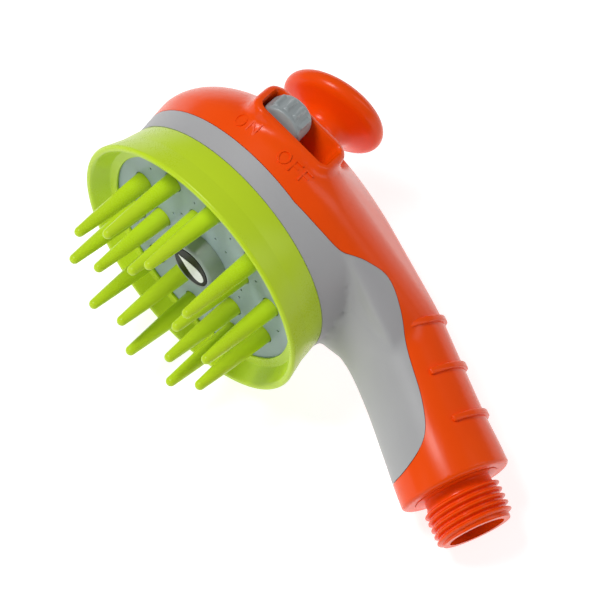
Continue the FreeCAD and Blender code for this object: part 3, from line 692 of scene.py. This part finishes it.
def build_comb():
    comb = turned([(KEYHOLE_R, COMB_Z), (COMB_R, COMB_Z), (COMB_R, COMB_Z + COMB_THICK),
                   (KEYHOLE_R, COMB_Z + COMB_THICK)], closed=True)
    bristles = []
    for count, radius, first in BRISTLE_RINGS:
        for i in range(count):
            turn = math.radians(first + 360.0 * i / count)
            foot = (radius * math.cos(turn), radius * math.sin(turn), 0)
            bristles.append(moved(bristle(), Matrix.Translation(foot)))
    finished("bristle_comb_lime", joined(comb, gathered(*bristles)), LIME,
             stands_for=["bristle_comb"], crease=40)


def build_boss():
    profile = [(5.8, 1.4), (5.8, 1.0), (6.6, 1.0), (7.1, 1.4), (8.5, PLATE_Z - 0.02), (4.9, PLATE_Z - 0.02),
               (4.9, COMB_Z + COMB_THICK), (1.65, COMB_Z + COMB_THICK), (1.65, 4.4), (3.0, 4.4), (3.0, 1.4)]
    finished("hub_cone", turned(profile, rounding=0.16, closed=True), BOSS,
             stands_for=["centre_boss"])


def build_emblem():
    """White drop on the black disc in the middle of the spray plate."""
    form = bmesh.new()
    outline = []
    for i in range(DROP_STEPS):
        turn = FULL_TURN * i / DROP_STEPS
        narrow = math.sin(turn / 2) ** 1.6
        outline.append(form.verts.new((0.1 - DROP_HALF_LENGTH * math.cos(turn),
                                       DROP_HALF_WIDTH * math.sin(turn) * narrow, DROP_Z)))
    extruded(form, outline, (0, 0, -DROP_THICK))
    finished("emblem_drop", form, WHITE)


# ---- switch ---------------------------------------------------------------------------
def build_button():
    top = -PAD_DEPTH - BUTTON_GAP
    half = BUTTON_WIDTH / 2
    block = rounded_block(BUTTON_LENGTH, BUTTON_WIDTH, top, BUTTON_RISE + 1, BUTTON_CORNER, BUTTON_AT)
    drum_z = BUTTON_RISE - DRUM_R
    drum = rod(DRUM_R, (BUTTON_AT, -half - 1, drum_z), (BUTTON_AT, half + 1, drum_z), 96)
    below = rounded_block(BUTTON_LENGTH + 2, BUTTON_WIDTH + 2, top - 1, -1.0, 0.5, BUTTON_AT)
    body = common(block, joined(drum, below))
    body = eased(recast(body, FINE_VOXEL), 5)
    bars = []
    reach = half - BAR_INSET
    for turn in BAR_TURNS:
        spin = math.radians(turn)
        x, z = BUTTON_AT + BAR_AT_R * math.sin(spin), drum_z + BAR_AT_R * math.cos(spin)
        bars.append(rod(BAR_R, (x, -reach, z), (x, reach, z), 20))
    body = eased(recast(gathered(body, *bars), BAR_VOXEL), 3)
    for side in POST_SIDES:
        post = rod(POST_R, (BUTTON_AT + side, 0, top - CARRIAGE_THICK), (BUTTON_AT + side, 0, top + 1), 24)
        body = joined(body, post)
    finished("thumb_slider", moved(body, AT_SLOT), BUTTON, body="slider",
             stands_for=["slider_button"], crease=55)


def letter(strokes):
    """Raised letter from straight strokes, drawn one high on the x and y axes."""
    bars = []
    thick = LETTER_STROKE / LETTER_HEIGHT
    for start, end in strokes:
        reach = Vector(end) - Vector(start)
        bar = rounded_block(reach.length + thick, thick, -0.3, 0.0, thick * 0.45, segments=3)
        middle = (Vector(start) + Vector(end)) / 2
        bars.append(moved(bar, Matrix.Translation((middle.x, middle.y, 0))
                          @ Matrix.Rotation(math.atan2(reach.y, reach.x), 4, "Z")))
    for lift, bar in enumerate(bars):
        bmesh.ops.translate(bar, vec=(0, 0, -LETTER_LIFT * lift), verts=bar.verts)
    return gathered(*bars)


def round_letter():
    """The letter O."""
    stroke = LETTER_STROKE / LETTER_HEIGHT / 2
    ring = turned([(0.5 - stroke, -0.3), (0.5 + stroke, -0.3), (0.5 + stroke, 0.0), (0.5 - stroke, 0.0)],
                  steps=40, closed=True)
    return moved(ring, Matrix.Diagonal((0.84, 1.0, 1.0, 1.0)))


def build_letters(outside):
    """ON and OFF beside the slot, each letter laid on the skin where it stands."""
    skin = BVHTree.FromBMesh(outside)
    n_strokes = (((-0.34, -0.5), (-0.34, 0.5)), ((-0.34, 0.5), (0.34, -0.5)), ((0.34, -0.5), (0.34, 0.5)))
    f_strokes = (((-0.26, -0.5), (-0.26, 0.5)), ((-0.26, 0.5), (0.3, 0.5)), ((-0.26, 0.05), (0.22, 0.05)))
    letters = []
    for mark, x, z in LETTER_PLACES:
        spot, normal, _, _ = skin.ray_cast(Vector((x, -80, z)), Vector((0, 1, 0)))
        shape = round_letter() if mark == "O" else letter(n_strokes if mark == "N" else f_strokes)
        reading = (LETTER_LEVEL - normal * normal.dot(LETTER_LEVEL)).normalized()
        place = placed(spot + normal * LETTER_PROUD, reading, normal.cross(reading), normal)
        letters.append(moved(shape, place @ Matrix.Scale(LETTER_HEIGHT, 4)))
    finished("switch_letters", gathered(*letters), ORANGE)


# ---- inlet ----------------------------------------------------------------------------
def build_inlet():
    root = THREAD_R - THREAD_DEPTH
    outline = [(INLET_BORE_R, INLET_END), (root - 0.1, INLET_END), (root, INLET_END - 0.3), (root, 2.6),
               (9.0, 2.0), (9.0, 0.6), (SPIGOT_R, 0.2), (SPIGOT_R, -CUFF_WALL), (FLANGE_R, -CUFF_WALL),
               (FLANGE_R, -CUFF_WALL - 2.5), (TUBE_R + 2.4, -CUFF_WALL - 2.5),
               (TUBE_R + 2.4, TUBE_END - 3), (TUBE_R + 0.05, TUBE_END - 3), (TUBE_R + 0.05, TUBE_END + 0.1),
               (WATER_R, TUBE_END + 0.1), (WATER_R, -2), (STRAINER_R, 1.0), (STRAINER_R, INLET_BORE_END),
               (INLET_BORE_R, INLET_BORE_END)]
    body = turned(outline, steps=128, closed=True)
    ridge = bmesh.new()
    start = THREAD_START
    section = [(root - 0.25, start - 0.72), (root + 0.25, start - 0.62), (THREAD_R - 0.28, start - 0.34),
               (THREAD_R - 0.06, start - 0.16), (THREAD_R - 0.06, start + 0.16),
               (THREAD_R - 0.28, start + 0.34), (root + 0.25, start + 0.62), (root - 0.25, start + 0.72)]
    face = ridge.faces.new([ridge.verts.new((r, 0, h)) for r, h in section])
    turns = (INLET_END - 0.75 - start) / THREAD_PITCH
    steps = round(64 * turns)
    bmesh.ops.spin(ridge, geom=[face], cent=(0, 0, 0), axis=(0, 0, 1), angle=FULL_TURN * turns, steps=steps,
                   dvec=(0, 0, THREAD_PITCH * turns / steps))
    bmesh.ops.recalc_face_normals(ridge, faces=ridge.faces)
    finished("threaded_inlet", moved(joined(body, ridge), AT_CUFF), ORANGE,
             stands_for=["inlet_connector"], crease=45)


# ---- carried-over CAD nodes -----------------------------------------------------------
CAD_FINISHES = {
    "spray_plate": PLATE, "emblem_disc": BLACK, "boss_screw": STEEL, "chamber_bowl": NATURAL,
    "chamber_gasket": RUBBER, "valve_body": NATURAL, "valve_end_cap": NATURAL, "valve_screws": STEEL,
    # The slider carriage takes the orange copy with painted shade.
    "valve_spool": NATURAL, "spool_o_rings": RUBBER, "slider_carriage": ORANGE_PAINTED_SHADE, "detent_spring": STEEL,
    "waterway_tube": NATURAL, "tube_o_ring": RUBBER, "inlet_o_ring": RUBBER, "inlet_strainer": DARK,
    "knob_screw": STEEL, "shell_screws": STEEL,
}


def dress_cad_nodes():
    for name, finish in CAD_FINISHES.items():
        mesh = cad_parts[name].data
        mesh.materials.clear()
        mesh.materials.append(finish)


# ---- table, lights and camera ---------------------------------------------------------
CAMERA_TARGET = Vector((24.3, -4.1, 15.7))
CAMERA_BACK = Vector((0.0987, -0.9153, -0.39))
CAMERA_UP = Vector((-0.744, -0.3284, 0.582))
CAMERA_DISTANCE = 1.15
FRAME_WIDTH = 0.1511
SENSOR_WIDTH = 36.0
WORLD_STRENGTH = 0.22
# Lamps: metres from the target to the frame's right, up and back to the camera; width, height; watts.
LAMPS = (
    ("key", (-0.35, 0.45, 0.75), (0.3, 0.3), 5.4),
    ("rim", (0.75, 0.3, 0.35), (0.2, 0.7), 0.9),
    ("fill", (-0.7, -0.35, 0.5), (0.6, 0.6), 1.1),
)


def lay_table():
    table = bmesh.new()
    bmesh.ops.create_grid(table, x_segments=8, y_segments=8, size=4.0)
    made = as_object(table, "table")
    finish = Finish("pale_table", Roughness=0.9, Specular_IOR_Level=0.1, Emission_Strength=0.8,
                    Emission_Color=(1.0, 1.0, 1.0, 1.0))
    finish.feed("Base Color", finish.blend(finish.grain(3.0), paint(188, 188, 188), paint(192, 192, 192)))
    made.data.materials.append(finish.material)


def aim(made, where, target):
    made.location = where
    made.rotation_mode = "QUATERNION"
    made.rotation_quaternion = (Vector(target) - Vector(where)).to_track_quat("-Z", "Y")


def softbox(name, where, target, width, height, power):
    lamp = bpy.data.lights.new(name, "AREA")
    lamp.shape = "RECTANGLE"
    lamp.size = width
    lamp.size_y = height
    lamp.energy = power
    made = bpy.data.objects.new(name, lamp)
    bpy.context.scene.collection.objects.link(made)
    aim(made, where, target)


def set_camera():
    turn = TOOL.to_3x3().normalized()
    back = (turn @ CAMERA_BACK).normalized()
    up = turn @ CAMERA_UP
    up = (up - back * up.dot(back)).normalized()
    target = TOOL @ CAMERA_TARGET
    lens = bpy.data.cameras.new("camera")
    lens.sensor_width = SENSOR_WIDTH
    lens.lens = SENSOR_WIDTH * CAMERA_DISTANCE / FRAME_WIDTH
    lens.clip_start = 0.05
    lens.clip_end = 50.0
    camera = bpy.data.objects.new("camera", lens)
    bpy.context.scene.collection.objects.link(camera)
    camera.matrix_world = placed(target + back * CAMERA_DISTANCE, up.cross(back), up, back)
    bpy.context.scene.camera = camera
    return target, up.cross(back), up, back


def light_scene(target, right, up, back):
    world = bpy.data.worlds.new("studio")
    world.use_nodes = True
    world.node_tree.nodes["Background"].inputs["Color"].default_value = (1.0, 1.0, 1.0, 1.0)
    world.node_tree.nodes["Background"].inputs["Strength"].default_value = WORLD_STRENGTH
    bpy.context.scene.world = world
    for name, (across, above, behind), (width, height), power in LAMPS:
        softbox(name, target + right * across + up * above + back * behind, target, width, height, power)
    bpy.context.scene.view_settings.view_transform = "Standard"


outside_skin = build_casings()
build_knob(outside_skin)
build_letters(outside_skin)
build_skirt()
build_comb()
build_boss()
build_emblem()
build_button()
build_inlet()
dress_cad_nodes()
lay_table()
light_scene(*set_camera())
